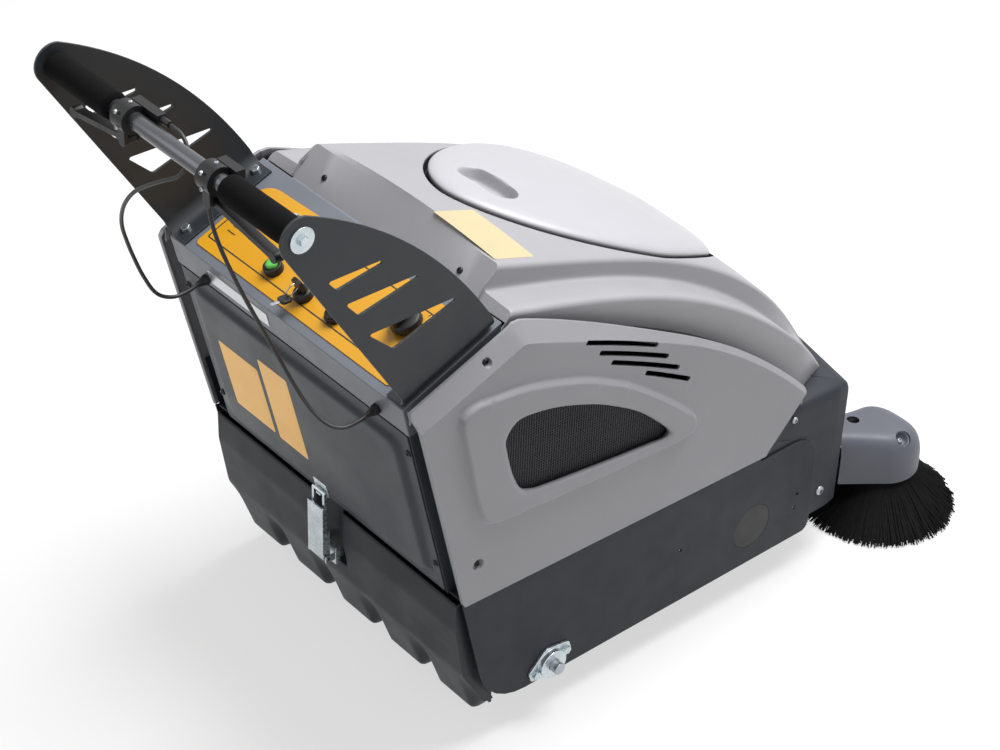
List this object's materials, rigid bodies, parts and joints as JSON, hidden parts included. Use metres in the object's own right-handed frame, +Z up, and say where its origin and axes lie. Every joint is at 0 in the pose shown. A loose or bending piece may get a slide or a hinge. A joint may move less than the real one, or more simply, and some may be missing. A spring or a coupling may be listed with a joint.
{
  "type": "power brush sweeper",
  "caption": "Walk-behind floor sweeper with a handlebar over a tilted control console, a curved hood with a lid, grey side covers, a pull-out rear hopper, a roller brush and a side brush.",
  "frame": {"origin": "on the floor under the middle of the drive axle", "axes": "+X to the right of the person pushing, +Y forwards, +Z up"},
  "size_m": [0.7529, 1.4031, 1.045],
  "materials": {
    "dark_plate": "satin dark grey paint",
    "deck_paint": "dark grey paint",
    "dark_plastic": "fine-grained dark grey moulding",
    "cover_grey": "fine-grained mid grey moulding",
    "hood_grey": "fine-grained light grey moulding",
    "lid_grey": "fine-grained pale grey moulding",
    "black_plastic": "black moulding",
    "mesh_black": "black slit sheet",
    "console_paint": "dark grey paint",
    "fascia_yellow": "satin yellow film",
    "chrome_rim": "polished",
    "bare_plate": "brushed",
    "panel_paint": "satin dark grey paint",
    "screw_black": "blackened",
    "handle_black": "satin black paint",
    "tube_paint": "satin dark metallic",
    "foam": "closed-cell foam",
    "zinc": "zinc plated",
    "cable_black": "smooth black sheath",
    "steel": "turned",
    "motor_paint": "grey paint",
    "belt_rubber": "matt",
    "battery_case": "dark moulding",
    "filter_paper": "pleated paper",
    "hub_alloy": "cast",
    "tyre_black": "matt",
    "roller_core": "dark moulding",
    "bristle_black": "matt filament",
    "hopper_plastic": "dark grey moulding",
    "button_green": "translucent green"
  },
  "bodies": {
    "chassis": {"right_side_plate": "dark_plate", "left_side_plate": "dark_plate", "chassis_deck": "deck_paint", "front_cowl": "dark_plastic", "front_skirt": "belt_rubber", "hood": "hood_grey", "right_side_cover": "cover_grey", "left_side_cover": "cover_grey", "window_grilles": "mesh_black", "side_plate_plugs": "black_plastic", "control_console": "console_paint", "control_fascia": "fascia_yellow", "hour_gauge": "chrome_rim", "key_switch": "black_plastic", "charge_socket": "black_plastic", "data_plate": "bare_plate", "cable_glands": "black_plastic", "rear_panel": "panel_paint", "cover_screws": "screw_black", "right_handle_plate": "handle_black", "left_handle_plate": "handle_black", "handlebar_tube": "tube_paint", "right_grip": "foam", "left_grip": "foam", "right_lever_clamp": "black_plastic", "left_lever_clamp": "black_plastic", "hex_bolts": "zinc", "drive_cable": "cable_black", "lift_cable": "cable_black", "axle_bearings": "zinc", "brush_bearings": "steel", "drive_motor": "motor_paint", "brush_belt": "belt_rubber", "battery": "battery_case", "panel_filter": "filter_paper", "suction_fan": "dark_plastic", "latch_keeper": "zinc", "hood_catch": "zinc"},
    "drive_axle": {"drive_axle": "steel", "wheel_hubs": "hub_alloy", "wheel_tyres": "tyre_black"},
    "main_brush": {"main_brush_core": "roller_core", "main_brush_bristles": "bristle_black", "brush_pulley": "hub_alloy"},
    "motor_rotor": {"motor_pulley": "hub_alloy"},
    "side_brush_arm": {"side_brush_arm": "dark_plastic", "side_brush_motor": "motor_paint"},
    "side_brush": {"side_brush_disc": "roller_core", "side_brush_bristles": "bristle_black"},
    "castor_fork": {"castor_fork": "zinc"},
    "castor_wheel": {"castor_wheel": "tyre_black"},
    "hopper": {"hopper": "hopper_plastic"},
    "latch_lever": {"latch_lever": "zinc"},
    "latch_bail": {"latch_bail": "zinc"},
    "filter_lid": {"filter_lid": "lid_grey"},
    "drive_lever": {"drive_lever": "black_plastic"},
    "lift_lever": {"lift_lever": "black_plastic"},
    "ignition_key": {"ignition_key": "black_plastic"},
    "start_button": {"start_button": "button_green"},
    "speed_knob": {"speed_knob": "black_plastic"}
  },
  "joints": [
    {"name": "drive_axle_spin", "type": "hinge", "parent": "chassis", "child": "drive_axle", "pos_m": [0, 0, 0.1], "axis": [1, 0, 0], "continuous": true},
    {"name": "main_brush_spin", "type": "hinge", "parent": "chassis", "child": "main_brush", "pos_m": [0, 0.435, 0.145], "axis": [1, 0, 0], "continuous": true},
    {"name": "motor_spin", "type": "hinge", "parent": "chassis", "child": "motor_rotor", "pos_m": [-0.279, 0.3, 0.4], "axis": [1, 0, 0], "continuous": true},
    {"name": "side_brush_lift", "type": "hinge", "parent": "chassis", "child": "side_brush_arm", "pos_m": [0.24, 0.64, 0.166], "axis": [1, 0, 0], "range_deg": [0, 18]},
    {"name": "side_brush_spin", "type": "hinge", "parent": "side_brush_arm", "child": "side_brush", "pos_m": [0.27, 0.797, 0.082], "axis": [0, 0, 1], "continuous": true},
    {"name": "castor_swivel", "type": "hinge", "parent": "chassis", "child": "castor_fork", "pos_m": [0, 0.67, 0.15], "axis": [0, 0, 1], "continuous": true},
    {"name": "castor_roll", "type": "hinge", "parent": "castor_fork", "child": "castor_wheel", "pos_m": [0, 0.652, 0.04], "axis": [1, 0, 0], "continuous": true},
    {"name": "lid_hinge", "type": "hinge", "parent": "chassis", "child": "filter_lid", "pos_m": [0, 0.57561, 0.46466], "axis": [-1, 0, 0], "range_deg": [0, 75]},
    {"name": "drive_lever_squeeze", "type": "hinge", "parent": "chassis", "child": "drive_lever", "pos_m": [0.098, -0.43039, 0.9805], "axis": [0, -1, 0], "range_deg": [0, 9], "stiffness_Nm_per_rad": 2, "springref_deg": -5.73},
    {"name": "lift_lever_squeeze", "type": "hinge", "parent": "chassis", "child": "lift_lever", "pos_m": [-0.098, -0.43039, 0.9805], "axis": [0, 1, 0], "range_deg": [0, 9]},
    {"name": "key_turn", "type": "hinge", "parent": "chassis", "child": "ignition_key", "pos_m": [-0.002, -0.2202, 0.69276], "axis": [0, 0.3907, -0.9205], "range_deg": [0, 75]},
    {"name": "start_press", "type": "slide", "parent": "chassis", "child": "start_button", "axis": [0, 0.3907, -0.9205], "range_m": [0, 0.003], "stiffness_N_per_m": 400, "springref_m": -0.001},
    {"name": "speed_turn", "type": "hinge", "parent": "chassis", "child": "speed_knob", "pos_m": [0.168, -0.16865, 0.71464], "axis": [0, -0.3907, 0.9205], "range_deg": [-135, 135]},
    {"name": "hopper_pull", "type": "slide", "parent": "chassis", "child": "hopper", "axis": [0, -1, 0], "range_m": [0, 0.45]},
    {"name": "latch_swing", "type": "hinge", "parent": "hopper", "child": "latch_lever", "pos_m": [-0.008, -0.195, 0.206], "axis": [1, 0, 0], "range_deg": [0, 110]},
    {"name": "bail_swing", "type": "hinge", "parent": "latch_lever", "child": "latch_bail", "pos_m": [-0.008, -0.195, 0.25], "axis": [1, 0, 0], "range_deg": [-99.5, 0]}
  ],
  "couplings": [
    {"joint": "motor_spin", "follows": "main_brush_spin", "ratio": 1.8955},
    {"joint": "lift_lever_squeeze", "follows": "side_brush_lift", "ratio": 0.5},
    {"joint": "bail_swing", "follows": "latch_swing", "ratio": -0.9}
  ]
}
